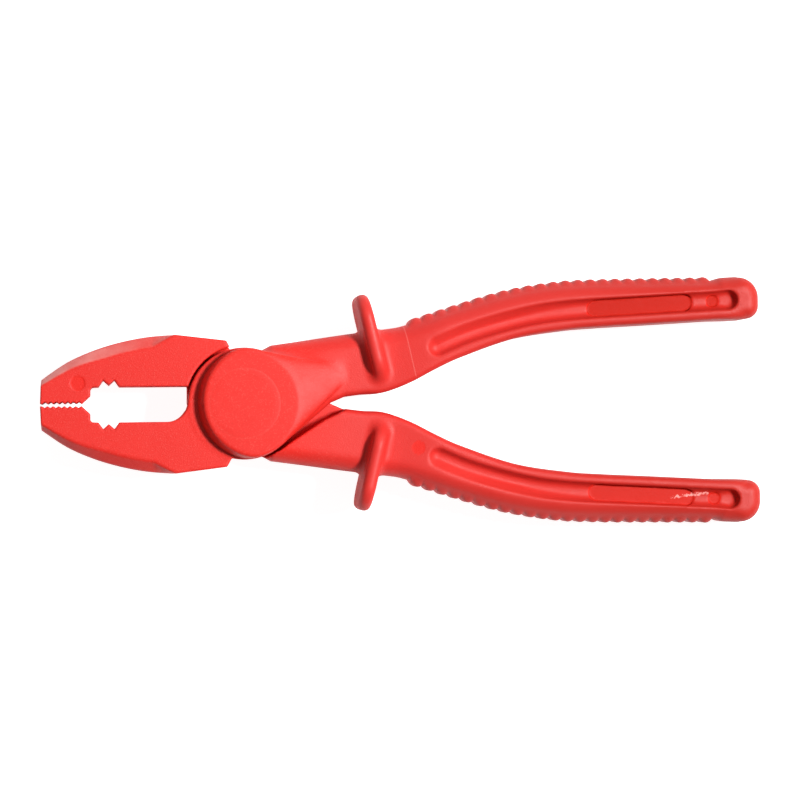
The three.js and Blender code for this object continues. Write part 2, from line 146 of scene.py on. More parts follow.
CELL = 0.51  # mesh spacing on the levers
FINE_CELL = 0.26  # spacing at the teeth
FINE_X, FINE_Y = (TIP_X - 0.5, -37.2), (-8, 0.5)  # where the teeth and notches are
RELAX_ROUNDS = 2
LEVER_Y = (-22.4, 39)
PLAN_STEP = 0.2  # spacing of the plan maps
REACH = 9.0  # distance up to which a plan map is exact

# ---------------------------------------------------------------- outlines


def spline(points, per_span=8):
    """A uniform Catmull-Rom curve through the points."""
    p = np.array(points, float)
    p = np.vstack([p[0], p, p[-1]])
    out = []
    for i in range(1, len(p) - 2):
        a, b, c, d = p[i - 1:i + 3]
        for t in np.arange(per_span) / per_span:
            out.append(0.5 * (2 * b + (c - a) * t + (2 * a - 5 * b + 4 * c - d) * t ** 2
                              + (3 * b - a - 3 * c + d) * t ** 3))
    return np.vstack([out, p[-1]])


def arc(centre, radius, start, stop, steps):
    """Points on an arc, angles in degrees."""
    angle = np.radians(np.linspace(start, stop, steps + 1))
    return np.stack([centre[0] + radius * np.cos(angle), centre[1] + radius * np.sin(angle)], 1)


def jaw_outline(square):
    """Jaw in plan: teeth, notches, throat, hub centre, heel and outer edge."""
    teeth = [(TIP_X, -TOOTH_Y)]
    for i in range(TOOTH_COUNT):
        x = TOOTH_START + i * TOOTH_PITCH
        teeth += [(x, -TOOTH_Y), (x + TOOTH_PITCH / 2, -TOOTH_Y - TOOTH_DEPTH)]
    teeth.append((TOOTH_START + TOOTH_COUNT * TOOTH_PITCH, -TOOTH_Y))
    notches = [(-46.5, -2.7), (-46.5, -4.6), (-45.9, -THROAT_Y + 0.1), (-44, -THROAT_Y),
               (-42.6, -NOTCH_Y), (-40.9, -5.8), (-39.2, -NOTCH_Y), (-37.8, -THROAT_Y)]
    if square:
        throat = [(SQUARE_END_X, -THROAT_Y), (SQUARE_END_X, 0)]
    else:
        throat = arc((-HUB_R - FILLET_R, FILLET_R - THROAT_Y), FILLET_R, -90, 0, 16)
    rear = [(0, 0), (JAW_HEEL[0], -JAW_HEEL[1]), (JAW_CORNER[0], -JAW_CORNER[1])]
    return np.vstack([teeth, notches, throat, rear, spline(JAW_EDGE, 6)])


def handle_outline(beyond_inner):
    """Handle in plan, with one long side moved far out, so that the other can be rounded alone."""
    far = 60
    tangent = (HUB_R * np.sin(NECK_ANGLE), -HUB_R * np.cos(NECK_ANGLE))
    lower, upper = END_ARCS
    end = np.vstack([arc(lower[:2], lower[2], -90, 0, 10), arc(upper[:2], upper[2], 0, 90, 14)])
    if beyond_inner:
        start = [(5.9, 16.35), (4, 14), (-far, 6), (-far, -far), (lower[0], -far)]
        return np.vstack([start, end, spline(OUTER_EDGE)[::-1]])
    start = [(upper[0], far), (-far, far), (-far, 6), (6, -8), tangent, CROTCH]
    return np.vstack([start, spline(INNER_EDGE)[::-1], end])


# ---------------------------------------------------------------- plan maps


class PlanMap:
    """Signed distance to an outline in plan, and the place along it, tabulated and read back smoothly."""

    def __init__(self, points, closed=True):
        self.low = np.array([TIP_X - 4, -26.0])
        high = np.array([END_X + 4, 42.0])
        self.count = np.ceil((high - self.low) / PLAN_STEP).astype(int) + 1
        gx = self.low[0] + PLAN_STEP * np.arange(self.count[0])
        gy = self.low[1] + PLAN_STEP * np.arange(self.count[1])
        near = np.full(self.count, REACH ** 2)
        along = np.zeros(self.count)
        inside = np.zeros(self.count, bool)
        points = np.asarray(points, float)
        pairs = list(zip(points, np.roll(points, -1, 0))) if closed else list(zip(points, points[1:]))
        travelled = 0.0
        for a, b in pairs:
            length = np.hypot(*(b - a))
            if length < 1e-9:
                continue
            if closed and a[1] != b[1]:
                rows = np.nonzero((gy >= min(a[1], b[1])) & (gy < max(a[1], b[1])))[0]
                cross = a[0] + (gy[rows] - a[1]) * (b[0] - a[0]) / (b[1] - a[1])
                inside[:, rows] ^= gx[:, None] < cross
            low = np.searchsorted(gx, min(a[0], b[0]) - REACH), np.searchsorted(gy, min(a[1], b[1]) - REACH)
            top = np.searchsorted(gx, max(a[0], b[0]) + REACH), np.searchsorted(gy, max(a[1], b[1]) + REACH)
            window = slice(low[0], top[0]), slice(low[1], top[1])
            px = gx[window[0], None] - a[0]
            py = gy[None, window[1]] - a[1]
            t = np.clip((px * (b[0] - a[0]) + py * (b[1] - a[1])) / length ** 2, 0, 1)
            square = (px - t * (b[0] - a[0])) ** 2 + (py - t * (b[1] - a[1])) ** 2
            nearer = square < near[window]
            near[window] = np.where(nearer, square, near[window])
            along[window] = np.where(nearer, travelled + t * length, along[window])
            travelled += length
        distance = np.sqrt(near)
        self.distance = np.where(inside, -distance, distance)
        self.along = along

    def read(self, table, x, y):
        u = np.clip((x - self.low[0]) / PLAN_STEP, 0, self.count[0] - 1.001)
        v = np.clip((y - self.low[1]) / PLAN_STEP, 0, self.count[1] - 1.001)
        i, j = u.astype(int), v.astype(int)
        u, v = u - i, v - j
        low = table[i, j] * (1 - v) + table[i, j + 1] * v
        high = table[i + 1, j] * (1 - v) + table[i + 1, j + 1] * v
        return low * (1 - u) + high * u

    def __call__(self, x, y):
        return self.read(self.distance, x, y)

    def place(self, x, y):
        return self.read(self.along, x, y)


jaw_maps = {square: PlanMap(jaw_outline(square)) for square in (False, True)}
jaw_edge_map = PlanMap(np.vstack([[(60, 60), (60, -30)], [(JAW_HEEL[0] + 8, -JAW_CORNER[1])],
                                  [(JAW_CORNER[0], -JAW_CORNER[1])], spline(JAW_EDGE, 6),
                                  [(TIP_X - 5.9, -3.4), (TIP_X - 5.9, 60)]]))
outer_map = PlanMap(handle_outline(True))
inner_map = PlanMap(handle_outline(False))
lap_map = PlanMap(LAP_OUTLINE)
GROOVE_LINE = spline(GROOVE_SPINE, 12)
groove_line = PlanMap(GROOVE_LINE, closed=False)

# ---------------------------------------------------------------- distances


def soft_max(a, b, k):
    """The larger of the two, with the corner between them rounded over the width k."""
    h = np.maximum(k - np.abs(a - b), 0) / k
    return np.maximum(a, b) + h * h * k / 4


def soft_min(a, b, k):
    return -soft_max(-a, -b, k)


def step(low, high, x):
    """A smooth rise from 0 at low to 1 at high."""
    t = np.clip((x - low) / (high - low), 0, 1)
    return t * t * (3 - 2 * t)


def slab(plan, height, half, radius):
    """An outline given thickness, with its edges rounded."""
    u, v = plan + radius, height - half + radius
    return np.minimum(np.maximum(u, v), 0) + np.hypot(np.maximum(u, 0), np.maximum(v, 0)) - radius


def bevel_width(x):
    """The bevel on the jaw's outer edge widens from the tip and runs out before the corner."""
    widening = np.minimum(BEVEL_AT_TIP + 0.1 * (x + 61), BEVEL_WIDEST)
    return np.maximum(0, np.minimum(widening, -0.5 * (x + 21)))


def jaw(x, y, z, square):
    """Jaw with its bevel, cut back around the other lever's hub."""
    height = np.abs(z)
    plan = slab(jaw_maps[square](x, y), height, JAW_HALF, JAW_EDGE_R)
    width = bevel_width(x)
    bevel = (jaw_edge_map(x, y) + width) * BEVEL_DROP + (height - JAW_HALF) * width
    bevel = bevel / np.hypot(width, BEVEL_DROP)
    body = soft_max(plan, bevel, EDGE_SOFT)
    shoulder = np.maximum(np.hypot(x, y) - SHOULDER_R, z - LAP_GAP)
    return soft_max(body, -shoulder, SHOULDER_SOFT)


def rib_rise(x, height):
    """How far the scallops stand out of the outer edge."""
    place = (x - RIB_START) / RIB_PITCH
    wave = np.abs(np.sin(np.pi * place)) ** 0.55
    ends = (place > 0) & (place < RIB_COUNT)
    return np.where(ends, RIB_HEIGHT * wave, 0) * (1 - step(RIB_HALF - 1.0, RIB_HALF + 2.6, height))


def half_thickness(x):
    """The neck is as thick as the jaw, and the grip is thicker."""
    return JAW_HALF + (GRIP_HALF - JAW_HALF) * step(*THICKEN, x)


def handle(x, y, z):
    """Neck and grip, with each long side rounded by its own radius, cut back around the other lever."""
    height = np.abs(z)
    half = half_thickness(x)
    near_end = step(END_X - 11, END_X - 3, x)
    outer_round = OUTER_ROUND + (END_ROUND - OUTER_ROUND) * near_end
    inner_round = INNER_ROUND + (END_ROUND - INNER_ROUND) * near_end
    outer = slab(outer_map(x, y) - rib_rise(x, height), height, half, outer_round)
    inner = slab(inner_map(x, y), height, half, inner_round)
    body = np.maximum(soft_max(outer, inner, EDGE_SOFT), -2 - x)
    hub = soft_min(np.hypot(x, y) - SHOULDER_R, lap_map(x, y), LAP_SOFT)
    return soft_max(body, -np.maximum(hub, z - LAP_GAP), SHOULDER_SOFT)


def groove(x, y, z):
    """Channel in both faces: deepest off its middle in front, flat-floored and steep-ended at the rear."""
    full = step(*GROOVE_DEEPENS, groove_line.place(x, y))
    depth = GROOVE_DEPTH * (GROOVE_SHALLOW + (1 - GROOVE_SHALLOW) * full)
    flat = step(*GROOVE_FLATTENS, x)
    from_middle = np.abs(groove_line(x, y)) / GROOVE_HALF
    inward = np.clip((np.interp(x, GROOVE_LINE[:, 0], GROOVE_LINE[:, 1]) - y) / 1.6, -1, 1)
    shift = GROOVE_OFFSET * inward * (1 - flat)
    from_deepest = np.maximum(from_middle - shift, 0) / (1 - shift)
    power = 1.9 + 1.5 * flat + 2.0 * step(*GROOVE_STEEPENS, x)
    return (half_thickness(x) - np.abs(z) - depth * (1 - from_deepest ** power)) * 0.4


def disc(x, y, place):
    """Signed distance to a disc, given as its centre and radius."""
    return np.hypot(x - place[0], y - place[1]) - place[2]


def impressions(x, y, z):
    """Blank insert and ejector mark in the groove floor, and two ejector marks on the flat side."""
    floor = np.abs(z) - GRIP_HALF + GROOVE_DEPTH
    line = groove_line(x, y)
    past = np.maximum(np.abs(x - INSERT_MIDDLE) - INSERT_HALF + INSERT_WIDE, 0)
    insert = np.maximum(np.hypot(past, line) - INSERT_WIDE, -INSERT_SINK - floor)
    groove_mark = np.maximum(disc(x, y, GROOVE_MARK), -GROOVE_MARK_SINK - floor)
    jaw_mark = np.maximum(disc(x, y, JAW_MARK), z + JAW_HALF - FACE_MARK_SINK)
    grip_mark = np.maximum(disc(x, y, GRIP_MARK), z + half_thickness(x) - FACE_MARK_SINK)
    return np.minimum(np.minimum(insert, groove_mark), np.minimum(jaw_mark, grip_mark))


def guard(x, y, z):
    """Flange across the handle, with a full round rim."""
    foot, tip = np.array(GUARD_FOOT), np.array(GUARD_TIP)
    length = np.hypot(*(tip - foot))
    ux, uy = (tip - foot) / length
    along = (x - foot[0]) * ux + (y - foot[1]) * uy - length / 2
    across = (x - foot[0]) * -uy + (y - foot[1]) * ux
    face = slab(np.abs(along) - length / 2, np.abs(z), FACE_HALF, GUARD_CORNER)
    return slab(face, np.abs(across), GUARD_THICK / 2, GUARD_THICK / 2 - 0.15)


def boss(x, y, z):
    """Raised boss with its slanted front wall."""
    t = np.clip((z - JAW_HALF) / (FACE_HALF - JAW_HALF), -0.2, 1)
    level = [foot + (face - foot) * t for foot, face in zip(BOSS_FOOT, BOSS_FACE)]
    return soft_max(np.hypot(x, y) - BOSS_R, disc(x, y, level) * 0.9, BOSS_SOFT)


def fairing(x, y, z):
    """Cone from the boss face down to a small round end on the neck: at each height, a hull of two discs."""
    t = np.clip((FACE_HALF - z) / (FACE_HALF - JAW_HALF), 0, 1.4)
    reach = np.hypot(*FAIRING_END[:2])
    ax, ay = np.array(FAIRING_END[:2]) / reach
    span = reach * t + 1e-6
    big, small = FAIRING_R, FAIRING_R + (FAIRING_END[2] - FAIRING_R) * t
    px = np.abs(x * -ay + y * ax)
    py = x * ax + y * ay
    b = np.clip((big - small) / span, 0, 0.999)
    a = np.sqrt(1 - b * b)
    k = -b * px + a * py
    near_big = np.hypot(px, py) - big
    near_small = np.hypot(px, py - span) - small
    middle = px * a + py * b - big
    cone = np.where(k < 0, near_big, np.where(k > a * span, near_small, middle)) * 0.6
    return soft_max(cone, FAIRING_START[2] - x * FAIRING_START[0] - y * FAIRING_START[1], EDGE_SOFT)


def bore(x, y, z):
    """Pockets for cap, bolt head, bush and thrust washer."""
    r = np.hypot(x, y)
    cap = np.maximum(r - (CAP_R - LIP_WIDTH), POCKET_TOP - z)
    pocket = np.maximum(r - POCKET_R, POCKET_FLOOR - z)
    shaft = r - (BUSH_R + CLEAR)
    thrust = np.maximum(r - (THRUST_R + CLEAR), z - THRUST_HALF - CLEAR)
    return np.minimum(np.minimum(cap, pocket), np.minimum(shaft, thrust))


def lever(x, y, z, square):
    """The whole lever. The square one has a throat that ends square, not round."""
    hub = np.maximum(soft_max(np.hypot(x, y) - HUB_R, z - JAW_HALF, SHOULDER_SOFT), LAP_GAP - z)
    over = LAP_GAP + 1 - z
    face = z - FACE_HALF + LIP
    ramp = fairing(x, y, z)
    knob = soft_max(np.minimum(boss(x, y, z), ramp), face, FACE_SOFT)
    # the ramp runs onto the neck more softly near the neck's outer side
    blend = 0.6 + 1.6 * step(9.5, 14, y) * (1 - step(14, 17, y))
    body = soft_min(handle(x, y, z), np.maximum(soft_max(ramp, face, FACE_SOFT), over), blend)
    body = soft_min(jaw(x, y, z, square), body, JOIN_SOFT)
    body = soft_min(body, hub, JOIN_SOFT)
    body = np.minimum(body, np.maximum(knob, over))
    body = soft_max(body, -groove(x, y, z), EDGE_SOFT)
    body = soft_max(body, -impressions(x, y, z), MARK_SOFT)
    body = soft_min(body, guard(x, y, z), GUARD_SOFT)
    return soft_max(body, -bore(x, y, z), BORE_SOFT)


# ---------------------------------------------------------------- drawing a mesh on a zero surface


def graded(low, high, cell, fine=None, fine_cell=None):
    """Grid lines from low to high, closer together over the fine range."""
    if fine is None:
        return np.linspace(low, high, int(np.ceil((high - low) / cell)) + 1)
    parts = [graded(low, fine[0], cell)[:-1], graded(fine[0], fine[1], fine_cell)[:-1],
             graded(fine[1], high, cell)]
    return np.concatenate(parts)


def draw_surface(distance, grid):
    """Vertices and quads of the zero surface: one vertex in each cell that it crosses."""
    gx, gy, gz = grid
    value = distance(gx[:, None, None], gy[None, :, None], gz[None, None, :])
    inside = value < 0
    cells = np.array(value.shape) - 1
    corner_sets, points, quads = [], [], []
    for axis in range(3):
        low = [slice(None)] * 3
        high = [slice(None)] * 3
        low[axis], high[axis] = slice(None, -1), slice(1, None)
        low, high = tuple(low), tuple(high)
        index = np.argwhere(inside[low] != inside[high])
        other = index.copy()
        other[:, axis] += 1
        a, b = value[tuple(index.T)], value[tuple(other.T)]
        t = a / (a - b)
        point = np.stack([g[index[:, i]] for i, g in enumerate(grid)], 1)
        ahead = grid[axis][index[:, axis] + 1]
        point[:, axis] += t * (ahead - point[:, axis])
        u, v = (axis + 1) % 3, (axis + 2) % 3
        around = []
        for du, dv in ((1, 1), (0, 1), (0, 0), (1, 0)):
            cell = index.copy()
            cell[:, u] -= du
            cell[:, v] -= dv
            around.append((cell[:, 0] * cells[1] + cell[:, 1]) * cells[2] + cell[:, 2])
        quad = np.stack(around, 1)
        outward = inside[tuple(index.T)]
        quad = np.where(outward[:, None], quad, quad[:, ::-1])
        quads.append(quad)
        corner_sets.append(quad.reshape(-1))
        points.append(np.repeat(point, 4, 0))
    keys, slot = np.unique(np.concatenate(corner_sets), return_inverse=True)
    slot = slot.reshape(-1)
    points = np.concatenate(points)
    hits = np.bincount(slot, minlength=len(keys))
    vertices = np.stack([np.bincount(slot, points[:, i], len(keys)) / hits for i in range(3)], 1)
    return vertices, slot.reshape(-1, 4)


def settle(distance, vertices, steps=3, limit=0.3):
    """Moves each vertex straight onto the zero surface."""
    h = 0.02
    for _ in range(steps):
        x, y, z = vertices.T
        value = distance(x, y, z)
        slope = np.stack([distance(x + h, y, z) - distance(x - h, y, z),
                          distance(x, y + h, z) - distance(x, y - h, z),
                          distance(x, y, z + h) - distance(x, y, z - h)], 1) / (2 * h)
        steep = np.maximum((slope ** 2).sum(1), 0.05)
        shift = slope * (value / steep)[:, None]
        length = np.linalg.norm(shift, axis=1, keepdims=True)
        vertices = vertices - shift * np.minimum(1, limit / np.maximum(length, 1e-9))
    return vertices


def relax(vertices, quads, share=0.4):
    """Draws each vertex towards the middle of its neighbours."""
    total = np.zeros_like(vertices)
    count = np.zeros(len(vertices))
    for i in range(4):
        a, b = quads[:, i], quads[:, (i + 1) % 4]
        for axis in range(3):
            total[:, axis] += np.bincount(a, vertices[b, axis], len(vertices))
            total[:, axis] += np.bincount(b, vertices[a, axis], len(vertices))
        count += np.bincount(a, minlength=len(vertices)) + np.bincount(b, minlength=len(vertices))
    return vertices + share * (total / count[:, None] - vertices)


def mesh_object(name, vertices, faces):
    mesh = bpy.data.meshes.new(name)
    mesh.from_pydata(vertices.tolist(), [], faces.tolist())
    mesh.validate()
    mesh.shade_smooth()
    obj = bpy.data.objects.new(name, mesh)
    bpy.context.scene.collection.objects.link(obj)
    return obj


def painted_bevel_sheen(x, y, z):
    """Painted sheen: where one jaw's bevel is painted pale, as light reflecting off it would make it, most of all
    near its tip.
    """
    width = bevel_width(x)
    on_bevel = step(-0.3, 0.2, jaw_edge_map(x, y) + width) * step(4.4, 5.2, -z)
    return on_bevel * step(0.4, 1.6, width) * (1 - 0.7 * step(-58, -26, x))


def scraped(x, y, z):
    """A light scrape along one groove, beside the end of its insert."""
    t = np.clip((x - SCRAPE_START[0]) / SCRAPE_RUN[0], 0, 1)
    from_scrape = np.hypot(x - SCRAPE_START[0] - SCRAPE_RUN[0] * t, y - SCRAPE_START[1] - SCRAPE_RUN[1] * t)
    return (1 - step(0.0, SCRAPE_WIDE, from_scrape)) * (z < 0)


def knit_line(x, y):
    """Signed distance to the line across the neck where two flows of plastic met; far away elsewhere."""
    line = (x - KNIT[0]) * KNIT_NORMAL[0] + (y - KNIT[1]) * KNIT_NORMAL[1]
    return line + 9 * np.sign(line) * step(-0.5, 1.5, 7.5 - y)


def make_lever(name, square):
    """A lever's mesh, with the values that its material reads at each vertex."""
    def distance(x, y, z):
        return lever(x, y, z, square)

    grid = (graded(TIP_X - 1, END_X + 1, CELL, FINE_X, FINE_CELL),
            graded(*LEVER_Y, CELL, FINE_Y, FINE_CELL),
            graded(-FACE_HALF - 1, FACE_HALF + 1, CELL))
    vertices, quads = draw_surface(distance, grid)
    vertices = settle(distance, vertices)
    for _ in range(RELAX_ROUNDS):
        vertices = settle(distance, relax(vertices, quads), steps=2)
    x, y, z = vertices.T
    # how smooth each sunk mark is; in the groove this also paints shade into the insert, a little less on the rear
    # lever
    recess = np.maximum(-impressions(x, y, z), -0.2) + 0.2
    in_groove = 0.875 if square else 1.0
    polish_and_shade = step(0.0, 0.2, recess) * np.where(x > INSERT_MIDDLE - 20, in_groove, 0.5)
    none = np.zeros(len(x))
    # painted sheen on this lever's jaw bevel, standing in for light reflecting off it
    bevel_sheen = painted_bevel_sheen(x, y, z) if square else none
    scrape = scraped(x, y, z) if square else none
    knit = none if square else KNIT_ZERO + knit_line(x, y)
    half_width = cad_box[1][1] / MM  # the guards' tips stay inside the CAD's box
    vertices[:, 1] = np.clip(vertices[:, 1], -half_width, half_width)
    if square:
        vertices = vertices * (1, -1, -1)
    vertices[:, 2] += LAP_Z
    obj = mesh_object(name, vertices * MM, quads)
    for key, amount in (("polish_and_shade", polish_and_shade), ("bevel_sheen", bevel_sheen), ("scrape", scrape), ("knit", knit)):
        obj.data.attributes.new(key, "FLOAT", "POINT").data.foreach_set("value", amount)
    return obj


# ---------------------------------------------------------------- pivot caps


def lathe(name, profile, sides=128):
    """A closed solid turned about the pivot axis from a profile of (radius, height) pairs."""
    bm = bmesh.new()
    rings = []
    for radius, height in profile:
        if radius < 1e-6:
            rings.append([bm.verts.new((0, 0, height * MM))])
        else:
            angles = np.arange(sides) * 2 * np.pi / sides
            rings.append([bm.verts.new((radius * np.cos(a) * MM, radius * np.sin(a) * MM, height * MM))
                          for a in angles])
    for low, high in zip(rings, rings[1:]):
        for i in range(sides):
            j = (i + 1) % sides
            if len(low) == 1:
                bm.faces.new((low[0], high[j], high[i]))
            elif len(high) == 1:
                bm.faces.new((low[i], low[j], high[0]))
            else:
                bm.faces.new((low[i], low[j], high[j], high[i]))
    bmesh.ops.recalc_face_normals(bm, faces=bm.faces)
    mesh = bpy.data.meshes.new(name)
    bm.to_mesh(mesh)
    bm.free()
    mesh.shade_smooth()
    mesh.set_sharp_from_angle(angle=np.radians(30))
    obj = bpy.data.objects.new(name, mesh)
    bpy.context.scene.collection.objects.link(obj)
    return obj


def cap_profile():
    """Cap with a thin lip over the bore and a spigot, from its underside to its face."""
    inside = FACE_HALF - 2.2
    body = CAP_R - LIP_WIDTH - CLEAR
    return [(0, inside), (POCKET_R - 1.5, inside), (POCKET_R - 1.5, inside - 0.7),
            (POCKET_R - CLEAR, inside - 0.7), (POCKET_R - CLEAR, inside), (body, inside),
            (body, FACE_HALF - LIP), (CAP_R, FACE_HALF - LIP), (CAP_R - 0.6, FACE_HALF),
            (CAP_R * 0.8, FACE_HALF), (CAP_R * 0.4, FACE_HALF), (0, FACE_HALF)]


def make_cap(name, turned_over):
    obj = lathe(name, cap_profile())
    place = Matrix.Translation((0, 0, LAP_Z * MM))
    if turned_over:
        place = place @ Matrix.Rotation(np.pi, 4, "X")
    obj.data.transform(place)
    return obj


# ---------------------------------------------------------------- materials

RED = (0.84, 0.025, 0.017, 1)
RED_SHADE = (0.80, 0.022, 0.015, 1)
RED_PALE = (0.90, 0.16, 0.13, 1)
# the next two reds paint shade towards the handle's end; the darker one also darkens grain specks and the sunk
# insert
RED_SHADED_GRIP = (0.70, 0.033, 0.027, 1)
RED_DULL_AND_SHADED = (0.50, 0.018, 0.010, 1)
# pale red for scrapes and the knit line, and for the painted sheen on one jaw's bevel
RED_SCUFF_AND_SHEEN = (1.0, 0.42, 0.38, 1)
# painted shade: stretches of X over which the red darkens towards the handle's end
GRIP_SHADE_FADE, END_SHADE_FADE = (0.016, 0.036), (0.05, 0.13)  # stretches of X, in metres, over which the red changes
BOSS_TOP = (0.0124, 0.0128)  # heights above the lap plane, in metres, where the grain dies away
PLASTIC_ROUGHNESS = (0.42, 0.56)


class Nodes:
    """A short way to write a material's nodes."""

    def __init__(self, name):
        self.material = bpy.data.materials.new(name)
        self.material.use_nodes = True
        self.tree = self.material.node_tree
        self.shader = self.tree.nodes["Principled BSDF"]

    def link(self, source, target):
        self.tree.links.new(source, target)

    def value(self, target, source):
        if hasattr(source, "is_output"):
            self.link(source, target)
        else:
            target.default_value = source

    def add(self, kind, **inputs):
        node = self.tree.nodes.new(kind)
        for key, value in inputs.items():
            self.value(node.inputs[key], value)
        return node

    def math(self, operation, a, b=0.0):
        node = self.tree.nodes.new("ShaderNodeMath")
        node.operation = operation
        self.value(node.inputs[0], a)
        self.value(node.inputs[1], b)
        return node.outputs[0]

    def noise(self, scale, detail=2.0, roughness=0.5):
        node = self.add("ShaderNodeTexNoise", Scale=scale, Detail=detail, Roughness=roughness)
        self.link(self.coordinates(), node.inputs["Vector"])
        return node.outputs["Fac"]

    def stored(self, name):
        """A value kept at each vertex."""
        node = self.tree.nodes.new("ShaderNodeAttribute")
        node.attribute_name = name
        return node.outputs["Fac"]

    def coordinates(self):
        return self.tree.nodes.new("ShaderNodeTexCoord").outputs["Object"]

    def remap(self, source, low, high, to_low, to_high):
        node = self.tree.nodes.new("ShaderNodeMapRange")
        for key, value in (("From Min", low), ("From Max", high), ("To Min", to_low), ("To Max", to_high)):
            node.inputs[key].default_value = value
        self.link(source, node.inputs["Value"])
        return node.outputs["Result"]

    def mix(self, factor, a, b):
        node = self.tree.nodes.new("ShaderNodeMix")
        node.data_type = "RGBA"
        self.value(node.inputs["Factor"], factor)
        self.value(node.inputs["A"], a)
        self.value(node.inputs["B"], b)
        return node.outputs["Result"]

    def bump(self, height, distance, strength=1.0, normal=None):
        """Distance in metres. A bump on top of another takes that one's normal."""
        node = self.add("ShaderNodeBump", Strength=strength, Distance=distance, Height=height)
        if normal is not None:
            self.link(normal, node.inputs["Normal"])
        return node.outputs["Normal"]


def moulded_plastic(name, grain=1.0):
    """Red glass-fibre reinforced plastic with a fine spark-eroded grain."""
    n = Nodes(name)
    cloud = n.noise(28, 3, 0.55)
    flow = n.noise(140, 4, 0.6)
    pebble = n.noise(2600, 2, 0.55)
    fine = n.noise(6200, 1, 0.5)
    colour = n.mix(n.remap(cloud, 0.35, 0.65, 0, 1), RED_SHADE, RED)
    colour = n.mix(n.remap(flow, 0.45, 0.75, 0, 0.35), colour, RED)
    colour = n.mix(n.remap(pebble, 0.56, 0.72, 0, 0.3), colour, RED_PALE)
    colour = n.mix(n.remap(pebble, 0.28, 0.44, 0.2, 0), colour, RED_DULL_AND_SHADED)
    # sharp convex edges are paler
    sharp_edges = n.tree.nodes.new("ShaderNodeNewGeometry").outputs["Pointiness"]
    colour = n.mix(n.remap(sharp_edges, 0.53, 0.62, 0, 0.16), colour, RED_PALE)
    polish_and_shade, bevel_sheen, scrape, knit = (n.stored(key) for key in ("polish_and_shade", "bevel_sheen", "scrape", "knit"))
    along = n.tree.nodes.new("ShaderNodeSeparateXYZ")
    n.link(n.coordinates(), along.inputs[0])
    # painted shade: the red turns duller and darker towards the handle's end, standing in for the light falling
    # off there
    colour = n.mix(n.remap(along.outputs["X"], *GRIP_SHADE_FADE, 0, 0.8), colour, RED_SHADED_GRIP)
    colour = n.mix(n.remap(along.outputs["X"], *END_SHADE_FADE, 0, 0.8), colour, RED_DULL_AND_SHADED)
    # the sunk inserts and marks are smooth; the deep insert is also darkened, partly for its duller finish and
    # partly as painted shade in its recess
    colour = n.mix(n.remap(polish_and_shade, 0.0, 0.5, 0, 0.7), colour, RED)
    colour = n.mix(n.remap(polish_and_shade, 0.5, 1.0, 0, 1.0), colour, RED_DULL_AND_SHADED)
    # painted sheen on one jaw's bevel, a scrape, and the line where the plastic's flows met
    sheen_mix = n.math("MULTIPLY", bevel_sheen, n.remap(flow, 0.3, 0.6, 0.3, 0.65))
    colour = n.mix(sheen_mix, colour, RED_SCUFF_AND_SHEEN)
    torn = n.math("ADD", n.math("MULTIPLY", scrape, 0.42), n.noise(1100, 3, 0.7))
    colour = n.mix(n.remap(torn, 0.78, 0.9, 0, 0.8), colour, RED_SCUFF_AND_SHEEN)
    off_seam = n.math("ABSOLUTE", n.math("SUBTRACT", knit, KNIT_ZERO))
    colour = n.mix(n.remap(off_seam, 0.06, 0.24, 0.18, 0.0), colour, RED_SCUFF_AND_SHEEN)
    n.link(colour, n.shader.inputs["Base Color"])
    texture = n.math("ADD", n.math("MULTIPLY", flow, 0.6), n.math("MULTIPLY", pebble, 0.4))
    roughness = n.remap(texture, 0.35, 0.65, *PLASTIC_ROUGHNESS)
    n.link(n.math("SUBTRACT", roughness, n.math("MULTIPLY", polish_and_shade, 0.14)), n.shader.inputs["Roughness"])
    # the boss faces have less grain
    height = n.math("ABSOLUTE", n.math("SUBTRACT", along.outputs["Z"], LAP_Z * MM))
    grained = n.remap(height, *BOSS_TOP, 1.0, 0.35)
    normal = n.bump(flow, 0.00005)
    normal = n.bump(pebble, 0.00006 * grain, grained, normal)
    normal = n.bump(fine, 0.00004 * grain, grained, normal)
    n.link(normal, n.shader.inputs["Normal"])
    n.link(n.math("SUBTRACT", 0.34, n.math("MULTIPLY", polish_and_shade, 0.3)), n.shader.inputs["Specular IOR Level"])
    return n.material


def bearing_plastic():
    n = Nodes("bearing_plastic_look")
    cloud = n.noise(120, 3)
    fine = n.noise(1500, 2)
    n.link(n.mix(n.remap(cloud, 0.3, 0.7, 0, 1), (0.62, 0.58, 0.48, 1), (0.78, 0.75, 0.67, 1)),
           n.shader.inputs["Base Color"])
    n.link(n.remap(fine, 0.3, 0.7, 0.32, 0.5), n.shader.inputs["Roughness"])
    n.link(n.bump(fine, 0.00003), n.shader.inputs["Normal"])
    return n.material


def plated_steel():
    n = Nodes("steel_look")
    rings = n.noise(900, 3, 0.6)
    cloud = n.noise(90, 2)
    n.link(n.mix(n.remap(cloud, 0.3, 0.7, 0, 1), (0.42, 0.43, 0.45, 1), (0.62, 0.63, 0.65, 1)),
           n.shader.inputs["Base Color"])
    n.link(n.remap(rings, 0.3, 0.7, 0.24, 0.42), n.shader.inputs["Roughness"])
    n.link(n.bump(rings, 0.00002), n.shader.inputs["Normal"])
    n.shader.inputs["Metallic"].default_value = 1.0
    return n.material


# ---------------------------------------------------------------- object

